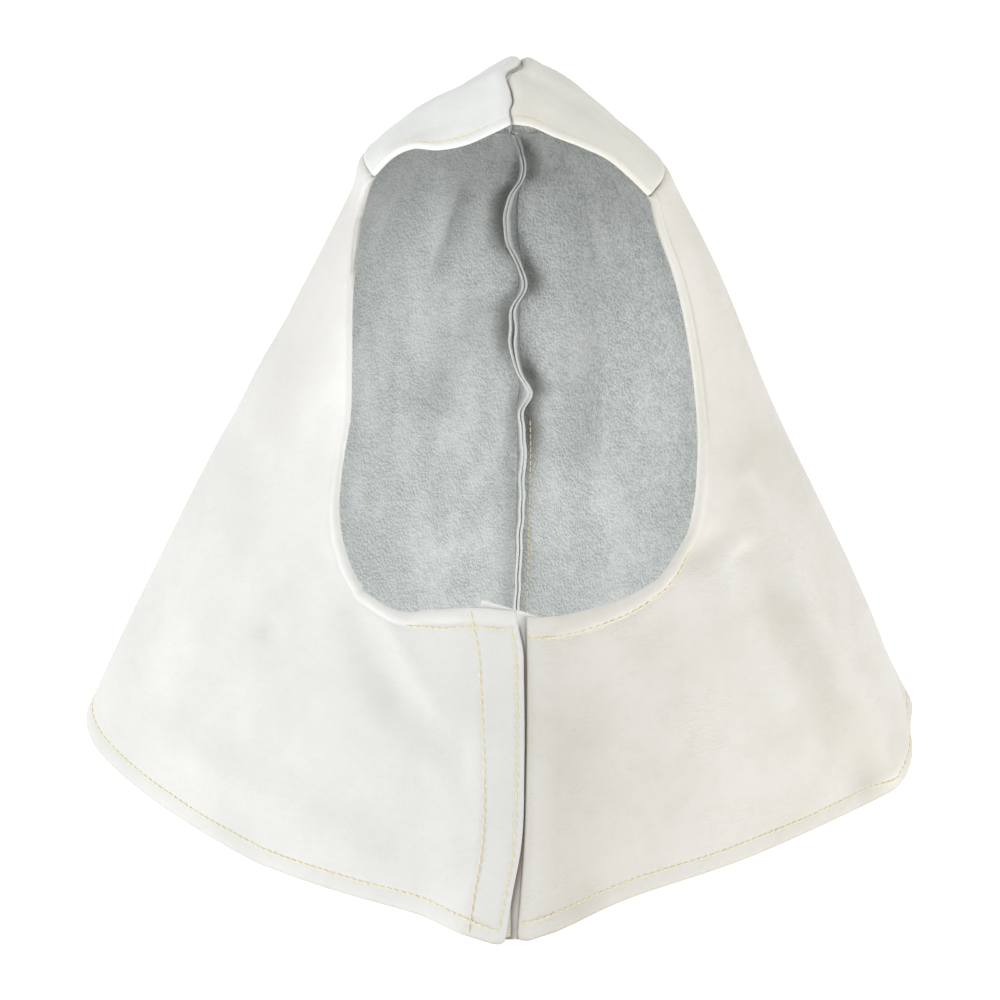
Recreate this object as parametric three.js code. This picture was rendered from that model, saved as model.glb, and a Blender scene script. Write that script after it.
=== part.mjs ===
import * as THREE from "three";

// Leather hood standing on its hem, in millimetres, Z up, face opening towards -Y.
// Left and right are the sides as seen from the front, so left is -X.
const LEFT = -1;
const RIGHT = 1;
const LEATHER = 1.5;
const GAP = 0.3;
const HEM_TURN = 12;
const CLOSURE_X = 2.98;

// Level sections of the cape and face part, one row for each height: the reach to the left and
// right, measured from the closure plane, and the depth of the front, the widest place and the back.
const BODY = [
  { height: 0, left: 262, right: 240, front: -180, widest: 25, back: 182.4 },
  { height: 75, left: 227, right: 217, front: -142, widest: 27, back: 181 },
  { height: 150, left: 190, right: 183, front: -105, widest: 30, back: 178 },
  { height: 225, left: 151, right: 146, front: -81, widest: 35, back: 173 },
  { height: 300, left: 112, right: 114, front: -71, widest: 40, back: 163 },
  { height: 350, left: 86, right: 88, front: -65, widest: 43, back: 147 },
  { height: 380, left: 72, right: 72, front: -60, widest: 45, back: 130 },
];

// How far a section runs on before it bends: at the front middle, before and behind its widest
// place, and at the back middle.
const BENDS = [
  { height: 0, nose: 14, cheek: 42, flank: 70, nape: 150 },
  { height: 75, nose: 22, cheek: 52, flank: 70, nape: 130 },
  { height: 150, nose: 30, cheek: 60, flank: 70, nape: 110 },
  { height: 225, nose: 45, cheek: 55, flank: 65, nape: 85 },
  { height: 300, nose: 50, cheek: 50, flank: 60, nape: 62 },
  { height: 350, nose: 45, cheek: 46, flank: 50, nape: 48 },
  { height: 380, nose: 40, cheek: 40, flank: 45, nape: 40 },
];

// Turn runs round each half: 0 at the front middle, 1 at the widest place, 2 at the back middle.
// Hem height above the ground: the hem stands on it at front and back and lifts at the sides.
const HEM = [
  { turn: 0, left: 0, right: 0 },
  { turn: 0.5, left: 0, right: 0 },
  { turn: 0.68, left: 10, right: 0 },
  { turn: 0.84, left: 23, right: 0 },
  { turn: 1.02, left: 38, right: 18 },
  { turn: 1.2, left: 40, right: 28 },
  { turn: 1.45, left: 7, right: 0 },
  { turn: 1.6, left: 0, right: 0 },
  { turn: 2, left: 0, right: 0 },
];

// Height of the seam between side and crown.
const CROWN_SEAM = [
  { turn: 0.6, left: 358, right: 353 },
  { turn: 1, left: 361, right: 360 },
  { turn: 1.5, left: 357, right: 357 },
  { turn: 2, left: 352, right: 352 },
];

// Lower edge of the face opening, out from the closure plane.
const COLLAR = [
  { reach: 0, left: 153, right: 151 },
  { reach: 20, left: 151, right: 149 },
  { reach: 40, left: 149, right: 149.5 },
  { reach: 60, left: 146, right: 152 },
  { reach: 79, left: 153, right: 158 },
];

// Side edges of the face opening, as reach out from the closure plane.
const CHEEK = [
  { height: 150, left: 75, right: 66 },
  { height: 158, left: 82, right: 79 },
  { height: 174, left: 89, right: 94 },
  { height: 190, left: 91, right: 99 },
  { height: 224, left: 86, right: 102 },
  { height: 265, left: 84, right: 99 },
  { height: 312, left: 84, right: 90 },
  { height: 335, left: 82, right: 81 },
  { height: 358, left: 74, right: 73 },
];

// Front edges of the two side panels at the closure, as X from the closure plane.
const FRONT_EDGE = [
  { height: 0, left: -4.5, right: 2 },
  { height: 40, left: 4.5, right: 6.5 },
  { height: 80, left: 7, right: 8 },
  { height: 120, left: 6.5, right: 8 },
  { height: 153, left: 2.5, right: 7.5 },
];

// Middle seam of the crown from front to back, with its sway to the right.
const RIDGE = [
  { along: 0, depth: -33, height: 394.5, sway: 0.5 },
  { along: 0.15, depth: -12, height: 410, sway: 1 },
  { along: 0.3, depth: 10, height: 419, sway: 1 },
  { along: 0.45, depth: 40, height: 418, sway: 5 },
  { along: 0.6, depth: 75, height: 407, sway: 3 },
  { along: 0.75, depth: 105, height: 390, sway: 1 },
  { along: 0.9, depth: 130, height: 369, sway: 0 },
  { along: 1, depth: 146, height: 352, sway: 0 },
];

// Lift of the crown's front edge above a straight line from the middle seam to the corner.
const CROWN_FRONT = [
  { across: 0, left: 0, right: 0 },
  { across: 0.15, left: 0, right: 5 },
  { across: 0.3, left: 0, right: 6.5 },
  { across: 0.5, left: 3, right: 9 },
  { across: 0.7, left: 9, right: 9.5 },
  { across: 0.87, left: 7, right: 5 },
  { across: 1, left: 0, right: 0 },
];

// Free edge of the ruffled rib inside the back seam, as X from the closure plane.
const BACK_SEAM = [
  { height: 0, sway: 3 },
  { height: 118, sway: 8 },
  { height: 172, sway: 8 },
  { height: 188, sway: 13 },
  { height: 204, sway: 3 },
  { height: 230, sway: 1 },
  { height: 252, sway: 12 },
  { height: 274, sway: 3 },
  { height: 303, sway: -3 },
  { height: 330, sway: 11 },
  { height: 352, sway: 0 },
];

// Upright folds of the cape, strongest at the hem: where they lie, how wide, how far out and
// the height at which they have faded.
const FOLDS = [
  { side: RIGHT, turn: 0.32, spread: 0.14, out: -8, top: 240 },
  { side: RIGHT, turn: 0.7, spread: 0.26, out: -5, top: 240 },
  { side: RIGHT, turn: 1.16, spread: 0.08, out: 18, top: 110 },
  { side: RIGHT, turn: 1.28, spread: 0.1, out: 14, top: 120 },
  { side: RIGHT, turn: 1.72, spread: 0.12, out: -6, top: 240 },
  { side: LEFT, turn: 0.25, spread: 0.11, out: -8, top: 240 },
  { side: LEFT, turn: 0.7, spread: 0.2, out: -4, top: 240 },
  { side: LEFT, turn: 1.34, spread: 0.14, out: -7, top: 240 },
  { side: LEFT, turn: 1.62, spread: 0.13, out: 5, top: 240 },
];

// Layers of the closure, as distance out from the right panel's face to each layer's outer face.
const CLOSURE = {
  flap: { out: 2.6, blendFrom: -52, blendTo: -26 },
  hook: { out: 0.56, thick: 0.9, from: -16, to: 0, low: 3, highFrom: 132, highTo: 132 },
  loop: { out: -0.67, thick: 1, from: -16, to: 1, low: 2, highFrom: 134, highTo: 134 },
  underlap: { out: -2.02, thick: 1.7, from: -18, to: 19, low: 0.6, highFrom: 156.5, highTo: 146 },
};
const STRIP_STEP = 16 / 3;

// Inside rib of the back seam, whose foot sways less than its free edge, about a middle place.
const RIB_DEEP = 9;
const RIB_WIDE = 1.7;
const SEAM_MIDDLE = 6;
const FOOT_SWAY = 0.35;

// Swell of the crown halves and dip of the seam between them.
const CROWN_SWELL = 3.5;
const SEAM_DIP = 4;
const SEAM_DIP_WIDE = 0.1;

// Rounding of the front middle, and how much longer a level measure is than one square to the wall.
const NOSE_ROUND = 10;
const SLANT = 1.12;

// Grid of each panel: shares of the height, with the corner of the face opening at one of them,
// shares of the bib's width, and the number of columns round the side and rows of the crown.
const CORNER_SHARE = 0.43;
const ROW_SHARES = [0, 0.034, 0.04, 0.11, 0.19, 0.27, 0.35, 0.39, 0.396, CORNER_SHARE];
const ROWS_ABOVE = 14;
const BIB_SHARES = [0, 0.05, 0.1, 0.16, 0.24, 0.34, 0.48, 0.65, 0.82, 1];
const BIB_FOOT = 108;
const FACE_CORNER = 79;
const SIDE_COLUMNS = 22;
const CORNER_TURN = 0.66;
const TURN_STEP = 0.01;
const CROWN_ROWS = 12;

const sideName = (side) => (side === LEFT ? "left" : "right");
const clamp01 = (value) => Math.min(1, Math.max(0, value));
const mix = (from, to, share) => from + (to - from) * share;

function ease(value) {
  const share = clamp01(value);
  return share * share * (3 - 2 * share);
}

// Smooth value of one column of a table at a place along its key column.
function valueAt(table, key, column, place) {
  const last = table.length - 1;
  const spanOf = (row) => table[row + 1][key] - table[row][key];
  const slopeOf = (row) => (table[row + 1][column] - table[row][column]) / spanOf(row);
  const bendAt = (row) => {
    if (row === 0) return slopeOf(0);
    if (row === last) return slopeOf(last - 1);
    const before = spanOf(row - 1);
    const after = spanOf(row);
    return (before * slopeOf(row) + after * slopeOf(row - 1)) / (before + after);
  };
  const at = Math.min(table[last][key], Math.max(table[0][key], place));
  let row = 0;
  while (row < last - 1 && at > table[row + 1][key]) row += 1;
  const span = spanOf(row);
  const s = (at - table[row][key]) / span;
  const values = mix(table[row][column], table[row + 1][column], 3 * s ** 2 - 2 * s ** 3);
  return values + span * ((s ** 3 - 2 * s ** 2 + s) * bendAt(row) + (s ** 3 - s ** 2) * bendAt(row + 1));
}

// Place at a share of a cubic curve with four control values.
function bend(share, a, b, c, d) {
  const rest = 1 - share;
  return rest ** 3 * a + 3 * rest ** 2 * share * b + 3 * rest * share ** 2 * c + share ** 3 * d;
}

// Reach and depth of one half section at a turn, rounded at the front middle.
function sectionPlace(side, turn, height) {
  const read = (column) => valueAt(BODY, "height", column, height);
  const runOn = (column) => valueAt(BENDS, "height", column, height);
  const reach = read(sideName(side));
  const widest = read("widest");
  if (turn < 1) {
    const straight = bend(turn, 0, runOn("nose"), reach, reach);
    const front = read("front");
    const depth = bend(turn, front, front, widest - runOn("cheek"), widest);
    return { reach: Math.sqrt(straight ** 2 + 2 * straight * NOSE_ROUND * (1 - turn) ** 2), depth };
  }
  const back = read("back");
  const depth = bend(turn - 1, widest, widest + runOn("flank"), back, back);
  return { reach: bend(turn - 1, reach, reach, runOn("nape"), 0), depth };
}

function foldOut(side, turn, height) {
  let out = 0;
  for (const fold of FOLDS) {
    const fade = Math.max(0, 1 - height / fold.top) ** 1.5;
    if (fold.side === side) out += fold.out * fade * Math.exp(-(((turn - fold.turn) / fold.spread) ** 2));
  }
  return out;
}

// Point of one half's outer face, moved level and outwards.
function bodyPoint(side, turn, height, out) {
  const place = sectionPlace(side, turn, height);
  const before = sectionPlace(side, Math.max(0, turn - 0.001), height);
  const after = sectionPlace(side, Math.min(2, turn + 0.001), height);
  const acrossX = after.reach - before.reach;
  const acrossY = after.depth - before.depth;
  const move = (out + foldOut(side, turn, height)) / Math.hypot(acrossX, acrossY);
  const x = CLOSURE_X + side * (place.reach + acrossY * move);
  return new THREE.Vector3(x, place.depth - acrossX * move, height);
}

// Turn at which the front of a section, or its back, has a given reach.
function turnAtReach(side, reach, height, low, high) {
  let from = low;
  let to = high;
  const rising = low < 1;
  for (let step = 0; step < 46; step += 1) {
    const middle = (from + to) / 2;
    const under = sectionPlace(side, middle, height).reach < reach;
    if (under === rising) from = middle;
    else to = middle;
  }
  return (from + to) / 2;
}

// Point of the front at an X from the closure plane, on either side of it.
function frontPoint(x, height, out) {
  const side = x < 0 ? LEFT : RIGHT;
  return bodyPoint(side, turnAtReach(side, Math.abs(x), height, 0, 0.999), height, out);
}

const hemHeight = (side, turn) => Math.max(0, valueAt(HEM, "turn", sideName(side), turn));
const seamHeight = (side, turn) => valueAt(CROWN_SEAM, "turn", sideName(side), turn);
const cheekReach = (side, height) => valueAt(CHEEK, "height", sideName(side), height);
const collarHeight = (side, reach) => valueAt(COLLAR, "reach", sideName(side), reach);

function backPoint(side, height, reach, out) {
  const over = reach < 0;
  const half = over ? -side : side;
  return bodyPoint(half, turnAtReach(half, Math.abs(reach), height, 1.2, 2), height, out);
}

// Solid from a list of outer and inner points and the cells of the outer face.
function thickened(pairs, cells) {
  const edges = new Map();
  const index = [];
  const count = pairs.length;
  for (const [a, b, c] of cells) {
    index.push(a, b, c, count + a, count + c, count + b);
    for (const [from, to] of [[a, b], [b, c], [c, a]]) {
      if (edges.has(`${to},${from}`)) edges.delete(`${to},${from}`);
      else edges.set(`${from},${to}`, [from, to]);
    }
  }
  // Walls along open edges are split the same way up and down, so that neighbours match.
  for (const [from, to] of edges.values()) {
    const rising = pairs[to].outer.z > pairs[from].outer.z;
    if (rising) index.push(to, from, count + from, to, count + from, count + to);
    else index.push(to, from, count + to, from, count + from, count + to);
  }
  const places = [...pairs.map((pair) => pair.outer), ...pairs.map((pair) => pair.inner)];
  const numbers = places.flatMap((place) => place.toArray());
  const geometry = new THREE.BufferGeometry();
  geometry.setAttribute("position", new THREE.Float32BufferAttribute(numbers, 3));
  geometry.setIndex(index);
  geometry.computeVertexNormals();
  return geometry;
}

// Cells of a grid of point numbers, facing out when its columns run with the given turn.
function gridCells(grid, flip) {
  const cells = [];
  for (let row = 0; row + 1 < grid.length; row += 1) {
    for (let column = 0; column + 1 < grid[row].length; column += 1) {
      const a = grid[row][column];
      const b = grid[row][column + 1];
      const c = grid[row + 1][column + 1];
      const d = grid[row + 1][column];
      cells.push(flip ? [a, c, b] : [a, b, c], flip ? [a, d, c] : [a, c, d]);
    }
  }
  return cells;
}

const evenly = (count) => Array.from({ length: count + 1 }, (_, step) => step / count);

// Distance from a place to the nearest of some points.
const distanceTo = (place, points) => Math.min(...points.map((point) => point.distanceTo(place)));

// Points along the turned edge of a side panel's face opening, outside the closure.
function faceEdge(side) {
  const points = [];
  for (let reach = 24; reach < FACE_CORNER; reach += 4) {
    points.push(frontPoint(side * reach, collarHeight(side, reach), 0));
  }
  for (let height = 158; height < 352; height += 5) {
    points.push(frontPoint(side * cheekReach(side, height), height, 0));
  }
  return points;
}

function sidePanel(side) {
  const name = sideName(side);
  const edge = faceEdge(side);
  const pairs = [];
  const cornerHeight = collarHeight(side, FACE_CORNER);
  const topHeight = seamHeight(side, CORNER_TURN) - GAP / 2;
  const above = evenly(ROWS_ABOVE).slice(1).map((share) => mix(CORNER_SHARE, 1, share));
  const shares = [...ROW_SHARES, ...above];
  const cornerRow = shares.indexOf(CORNER_SHARE);

  // Turned edges are two layers thick, and the back seam stands inside as a rib.
  const thickAt = (place, ground, x) => {
    const away = Math.min(place.z - ground, distanceTo(place, edge));
    const turned = ease((HEM_TURN + 2 - away) / 2);
    return LEATHER * (1 + turned * ease((Math.abs(x) - 21) / 5));
  };
  const addPoint = (pointOut, out, ground, x) => {
    const outer = pointOut(out);
    const thick = thickAt(outer, ground, x);
    pairs.push({ outer, inner: pointOut(out - thick * SLANT) });
    return pairs.length - 1;
  };

  // Bib from the front edge to a line down from the corner of the face opening. The left one
  // lifts towards its edge to lap over the right one.
  const lift = (x) => {
    if (side === RIGHT) return 0;
    const { out, blendFrom, blendTo } = CLOSURE.flap;
    return out * ease((x - blendFrom) / (blendTo - blendFrom));
  };
  const bib = shares.slice(0, cornerRow + 1).map((share) => BIB_SHARES.map((part) => {
    const up = share / CORNER_SHARE;
    const edgeX = valueAt(FRONT_EDGE, "height", name, up * cornerHeight);
    const x = mix(edgeX, side * mix(BIB_FOOT, FACE_CORNER, up), part);
    const height = up * collarHeight(side, Math.max(0, side * x));
    return addPoint((out) => frontPoint(x, height, out), lift(x), 0, x);
  }));

  // Side from that line and the face edge round to the back seam.
  const wrap = shares.map((share, row) => {
    const low = row <= cornerRow;
    const up = share / CORNER_SHARE;
    const pastCorner = (share - CORNER_SHARE) / (1 - CORNER_SHARE);
    const startHeight = low ? up * cornerHeight : mix(cornerHeight, topHeight, pastCorner);
    const startReach = low ? mix(BIB_FOOT, FACE_CORNER, up) : cheekReach(side, startHeight);
    const start = turnAtReach(side, startReach, startHeight, 0, 0.999);
    const first = bodyPoint(side, start, startHeight, 0);
    const pace = first.distanceTo(bodyPoint(side, start + TURN_STEP, startHeight, 0)) / TURN_STEP;
    const stops = [start, start + HEM_TURN / pace, start + (HEM_TURN + 2) / pace];
    const backHeight = (seamHeight(side, 2) - GAP / 2) * share;
    const sway = valueAt(BACK_SEAM, "height", "sway", backHeight);
    const foot = mix(SEAM_MIDDLE, sway, FOOT_SWAY);
    const end = turnAtReach(side, Math.max(8, side * foot + 10), backHeight, 1.2, 2);
    const turns = [...stops, ...evenly(SIDE_COLUMNS).slice(1).map((part) => mix(stops[2], end, part))];
    const line = turns.map((turn, column) => {
      if (low && column === 0) return bib[row][BIB_SHARES.length - 1];
      const ground = hemHeight(side, turn);
      const rise = startHeight / topHeight;
      const settle = ease((turn - start) / 0.5);
      const height = mix(ground, seamHeight(side, turn) - GAP / 2, mix(rise, share, settle));
      return addPoint((out) => bodyPoint(side, turn, height, out), 0, ground, Infinity);
    });
    const seamSide = side * foot + GAP / 2;
    const atFoot = (fromSeam) => (out) => backPoint(side, backHeight, seamSide + fromSeam, out);
    line.push(addPoint(atFoot(RIB_WIDE + 0.4), 0, 0, Infinity));
    for (const fromSeam of [RIB_WIDE, 0]) {
      const inner = backPoint(side, backHeight, side * sway + GAP / 2 + fromSeam, -RIB_DEEP);
      pairs.push({ outer: atFoot(fromSeam)(0), inner });
      line.push(pairs.length - 1);
    }
    return line;
  });
  const flip = side === LEFT;
  return thickened(pairs, [...gridCells(bib, flip), ...gridCells(wrap, flip)]);
}

function crownPanel(side) {
  const name = sideName(side);
  const corner = seamHeight(side, CORNER_TURN);
  const start = turnAtReach(side, cheekReach(side, corner), corner, 0, 0.999);
  const across = [0, 0.04, SEAM_DIP_WIDE, 0.2, 0.34, 0.5, 0.66, 0.82, 0.94, 1];
  const along = [0, 0.05, 0.06, ...evenly(CROWN_ROWS).slice(1).map((share) => mix(0.06, 1, share))];
  const seamPlace = (share) => {
    const turn = mix(start, 1.97, share);
    const height = seamHeight(side, turn) + GAP / 2;
    const inner = bodyPoint(side, turn, height, -LEATHER * SLANT);
    return { outer: bodyPoint(side, turn, height, 0), inner };
  };
  const roof = (share, part) => {
    const ridgeAt = (column) => valueAt(RIDGE, "along", column, share);
    const ridge = new THREE.Vector3(CLOSURE_X + ridgeAt("sway") + side * GAP / 2, ridgeAt("depth"), 0);
    ridge.z = ridgeAt("height") + GAP / 2;
    const place = ridge.clone().lerp(seamPlace(share).outer, part);
    const front = 1 - ease(share / 0.3);
    place.y += front * (seamPlace(0).outer.y - RIDGE[0].depth) * (part * part - part);
    place.z += mix(CROWN_SWELL * 4 * part * (1 - part), valueAt(CROWN_FRONT, "across", name, part), front);
    const dip = SEAM_DIP * mix(0.3, 1, ease(share / 0.15)) * (1 - ease(share));
    place.z -= dip * Math.max(0, 1 - part / SEAM_DIP_WIDE) ** 2;
    return place;
  };
  const pairs = [];
  const grid = along.map((share) => across.map((part) => {
    const outer = roof(share, part);
    const step = 0.004;
    const forward = roof(Math.min(1, share + step), part).sub(roof(Math.max(0, share - step), part));
    const sideways = roof(share, Math.min(1, part + step)).sub(roof(share, Math.max(0, part - step)));
    const normal = forward.cross(sideways).multiplyScalar(-side).normalize();
    if (part === 0) normal.setX(0).normalize();
    const thick = LEATHER * (share <= 0.051 ? 2 : 1);
    let inner = outer.clone().addScaledVector(normal, -thick);
    if (part === 1) inner = seamPlace(share).inner;
    if (share === 1) inner = outer.clone().add(seamPlace(1).inner).sub(seamPlace(1).outer).setX(outer.x);
    pairs.push({ outer, inner });
    return pairs.length - 1;
  }));
  return thickened(pairs, gridCells(grid, side === LEFT));
}

// Strip that follows the front between two X places, from its low edge to a sloping top.
function closureStrip(layer, rows) {
  const steps = [-3, -2, -1, 0, 1, 2, 3].map((step) => step * STRIP_STEP);
  const inside = steps.filter((x) => x > layer.from + 0.5 && x < layer.to - 0.5);
  const places = [layer.from, ...inside, layer.to];
  const pairs = [];
  const grid = evenly(rows).map((up) => places.map((x) => {
    const top = mix(layer.highFrom, layer.highTo, (x - layer.from) / (layer.to - layer.from));
    const height = mix(layer.low, top, up);
    const inner = frontPoint(x, height, layer.out - layer.thick);
    pairs.push({ outer: frontPoint(x, height, layer.out), inner });
    return pairs.length - 1;
  }));
  return thickened(pairs, gridCells(grid, false));
}

const leather = new THREE.MeshStandardMaterial({ name: "leather", color: 0xe9e7e0, roughness: 0.6 });
const tape = new THREE.MeshStandardMaterial({ name: "tape", color: 0xcdbfa4, roughness: 0.9 });

const hood = new THREE.Group();
hood.name = "welding_hood";
function addPiece(name, geometry, material) {
  const piece = new THREE.Mesh(geometry, material);
  piece.name = name;
  hood.add(piece);
}
addPiece("crown_left", crownPanel(LEFT), leather);
addPiece("crown_right", crownPanel(RIGHT), leather);
addPiece("side_left", sidePanel(LEFT), leather);
addPiece("side_right", sidePanel(RIGHT), leather);
addPiece("underlap", closureStrip(CLOSURE.underlap, 10), leather);
addPiece("hook_strip", closureStrip(CLOSURE.hook, 10), tape);
addPiece("loop_strip", closureStrip(CLOSURE.loop, 10), tape);

export default hood;
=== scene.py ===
import math
import bpy
import numpy as np
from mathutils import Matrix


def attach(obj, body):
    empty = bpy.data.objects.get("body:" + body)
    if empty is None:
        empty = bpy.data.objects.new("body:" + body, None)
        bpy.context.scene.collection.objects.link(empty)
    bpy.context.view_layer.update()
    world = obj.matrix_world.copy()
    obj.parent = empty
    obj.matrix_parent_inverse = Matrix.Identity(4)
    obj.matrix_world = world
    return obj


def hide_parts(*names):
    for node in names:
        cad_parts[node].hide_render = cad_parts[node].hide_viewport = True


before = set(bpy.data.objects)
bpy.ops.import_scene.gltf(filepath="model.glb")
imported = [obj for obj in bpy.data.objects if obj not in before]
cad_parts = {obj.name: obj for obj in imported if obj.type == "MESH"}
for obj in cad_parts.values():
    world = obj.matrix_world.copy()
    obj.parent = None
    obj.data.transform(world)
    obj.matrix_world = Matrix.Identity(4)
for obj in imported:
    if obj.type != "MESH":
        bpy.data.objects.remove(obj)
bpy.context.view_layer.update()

# Side panels: two white grain hides, flesh side in, that make cape, cheeks and collar.
# Each is cut flat, its face edge and hem are turned in and sewn down. They are joined by the
# back seam, and in front the left one laps over the right.
LEFT, RIGHT = -1, 1
HALF = {LEFT: "left", RIGHT: "right"}
CLOSURE_X = 0.00298
HIDE_THICK = 0.0015
NOSE_ROUND = 0.01
SLANT = 1.12
CORNER_SHARE = 0.43
BIB_FOOT = 0.108
FACE_CORNER = 0.079
BROW_TURN = 0.66
BIB_WIDE, BIB_FROM = 0.095, {LEFT: -0.006, RIGHT: 0.007}
TURNED_STRIP, HEM_STRIP, SIDE_CUT = 0.0107, 0.0122, 1.045
THINNEST = 0.0001
GUTTER_LEAST, GUTTER_DEEP, GUTTER_WIDE = 0.001, 0.004, 0.011
FLAP_LIFT, FLAP_LIFT_FROM, FLAP_LIFT_TO = 0.0026, -0.052, -0.026
SEAM_MIDDLE, FOOT_SWAY = 0.006, 0.35
FRONT_TURNS, BACK_TURNS = (0.0, 0.999), (1.2, 2.0)


def sizes(names, *rows):
    """Columns of a short table by name: lengths in millimetres, made metres, and shares as they are."""
    names = names.split()
    units = [1 if name in ("turn", "spread", "along", "across") else 1000 for name in names]
    return dict(zip(names, (np.array(rows, dtype=float) / units).T))


BODY = sizes(
    "height left right front widest back nose cheek flank nape",
    (0, 262, 240, -180, 25, 182.4, 14, 42, 70, 150), (75, 227, 217, -142, 27, 181, 22, 52, 70, 130),
    (150, 190, 183, -105, 30, 178, 30, 60, 70, 110), (225, 151, 146, -81, 35, 173, 45, 55, 65, 85),
    (300, 112, 114, -71, 40, 163, 50, 50, 60, 62), (350, 86, 88, -65, 43, 147, 45, 46, 50, 48),
    (380, 72, 72, -60, 45, 130, 40, 40, 45, 40),
)
HEM = sizes(
    "turn left right",
    (0, 0, 0), (0.5, 0, 0), (0.68, 10, 0), (0.84, 23, 0), (1.02, 38, 18), (1.2, 40, 28), (1.45, 7, 0),
    (1.6, 0, 0), (2, 0, 0),
)
CROWN_SEAM = sizes("turn left right", (0.6, 358, 350.5), (1, 361, 354.5), (1.5, 357, 356), (2, 352, 352))
COLLAR = sizes(
    "reach left right",
    (0, 153.8, 151), (8, 154.6, 150), (20, 154.6, 149), (40, 150.6, 149.5), (60, 146, 152),
    (79, 153, 158),
)
CHEEK = sizes(
    "height left right",
    (150, 75, 66), (158, 81.6, 79), (174, 89, 94), (190, 91.7, 99), (208, 90.6, 101), (224, 88.2, 102),
    (241, 85.8, 101.2), (265, 86.2, 98.5), (312, 88.6, 88.2), (335, 86, 79.7), (358, 74.5, 73),
)
FRONT_EDGE = sizes(
    "height left right",
    (0, -2.2, 3.4), (20, 1.2, 5.2), (40, 5.2, 6.8), (80, 7, 8.2), (120, 6.9, 8.6), (135, 6.4, 8.6),
    (144.5, 4.4, 8.4), (155, 3, 8.2),
)
BACK_SEAM = sizes(
    "height sway",
    (0, 3), (86, 7), (158, 9.8), (176, 8.7), (188, 13.6), (200, 7), (212, 3), (232, 1.8), (242.5, 3.5),
    (254.5, 10.8), (268, 6.2), (283, -0.3), (303, -2.4), (312.5, 0.3), (324, 8.7), (333, 10.5),
    (345, 6.5), (352, 2),
)
FOLDS = {
    RIGHT: sizes(
        "turn spread out top",
        (0.32, 0.14, -8, 240), (0.7, 0.26, -5, 240), (1.16, 0.08, 18, 110), (1.28, 0.1, 14, 120),
        (1.72, 0.12, -6, 240),
    ),
    LEFT: sizes(
        "turn spread out top",
        (0.25, 0.11, -5, 240), (0.7, 0.2, -4, 240), (1.34, 0.14, -7, 240), (1.62, 0.13, 5, 240),
    ),
}

# Creases: lines seen from the front by X from the closure plane and height, how wide and how far out.
# Lines of painted shade are given the same way, and their last column is thousandths of the full shade; a
# negative one is a painted highlight.
CREASE = "x0 z0 x1 z1 wide out"
FRONT_CREASES = {
    LEFT: sizes(
        CREASE, (-100, 165, -134, 120, 6, -2), (-134, 120, -177, 72, 9, -2.4), (-103, 158, -75, 99, 13, 1.6),
        (-87, 142, -62, 102, 12, -2), (-62, 102, -30, 85, 12, -2.2), (-62, 135, -38, 102, 5, 0.8),
        (-186, 46, -87, 30, 12, 1.6), (-150, 187, -181, 77, 14, 3.4), (-86, 345, -118, 268, 28, -4.2),
    ),
    RIGHT: sizes(
        CREASE, (125, 203, 220, 3, 16, 4.6), (125, 203, 220, 3, 5, 3), (128, 158, 202, 17, 8, -4.4),
        (99, 165, 113, 172, 8, -2.8), (72, 142, 96, 93, 16, 2.4),
    ),
}
BACK_CREASES = {
    LEFT: sizes(
        CREASE, (4, 179, -37, 93, 12, -6), (-25, 312, -40, 270, 6, 4), (-40, 330, -52, 230, 10, -4),
        (-18, 240, -45, 180, 9, 3),
    ),
    RIGHT: sizes(CREASE, (40, 300, 46, 150, 14, 3), (70, 250, 60, 120, 10, -2.5)),
}
PAINTED_SHADE_LINES = {
    LEFT: sizes(
        CREASE, (-100, 330, -125, 230, 32, 85), (-40, 120, -32, 30, 20, 40), (-155, 190, -225, 70, 14, 30),
    ),
    RIGHT: sizes(
        CREASE, (34, 130, 40, 85, 16, 50), (36, 85, 32, 0, 22, 150), (145, 130, 184, 46, 8, 65),
        (155, 190, 238, 3, 22, 50), (125, 203, 220, 3, 4, -60), (105, 330, 135, 220, 32, 75),
    ),
}
CORNER_ACROSS, CORNER_UP = {LEFT: 0.0045, RIGHT: 0.009}, {LEFT: 0.0042, RIGHT: 0.003}

# Cross-sections of the panel edges: distance in from the edge, then grain and flesh face.
EDGE = "away grain flesh"
FACE_HEM = sizes(
    EDGE, (0, -0.75, -0.85), (0.25, 0.25, -1.75), (0.8, 0.85, -2.35), (1.8, 1.35, -2.85), (3.2, 1.55, -3.05),
    (4.6, 1.3, -3.1), (5.8, 0.7, -3.1), (6.8, 0, -3.05), (7.6, -0.35, -3), (9, -0.15, -3),
    (10.5, 0, -3), (10.9, 0, -2.75), (11.3, 0, -1.6), (13, 0, -1.5),
)
CHEEK_BEAD = {LEFT: 0.65, RIGHT: 1}
GROUND_HEM = sizes(
    EDGE,
    (0, -0.7, -0.8), (0.3, 0.05, -1.7), (1, 0.4, -2.4), (2.5, 0.55, -2.85), (5, 0.5, -3), (8, 0.25, -3),
    (9.3, -0.1, -3), (10, -0.3, -3), (10.7, -0.1, -3), (12, 0.05, -2.9), (12.4, 0.05, -1.55),
    (14, 0, -1.5),
)
FLAP_EDGE = sizes(
    EDGE, (0, -0.8, -0.9), (0.2, -0.25, -1.35), (0.7, 0.15, -1.5), (1.6, 0.3, -1.5), (2.7, 0.15, -1.5),
    (3.5, -0.2, -1.5), (4.3, 0.05, -1.5), (6, 0.1, -1.5), (19, 0.1, -1.5), (20.3, 0, -1.5),
    (21, -0.25, -1.5), (21.8, 0, -1.5), (24, 0, -1.5),
)
RAW_EDGE = sizes(EDGE, (0, -0.3, -1.2), (0.25, -0.05, -1.45), (0.6, 0, -1.5))
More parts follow.
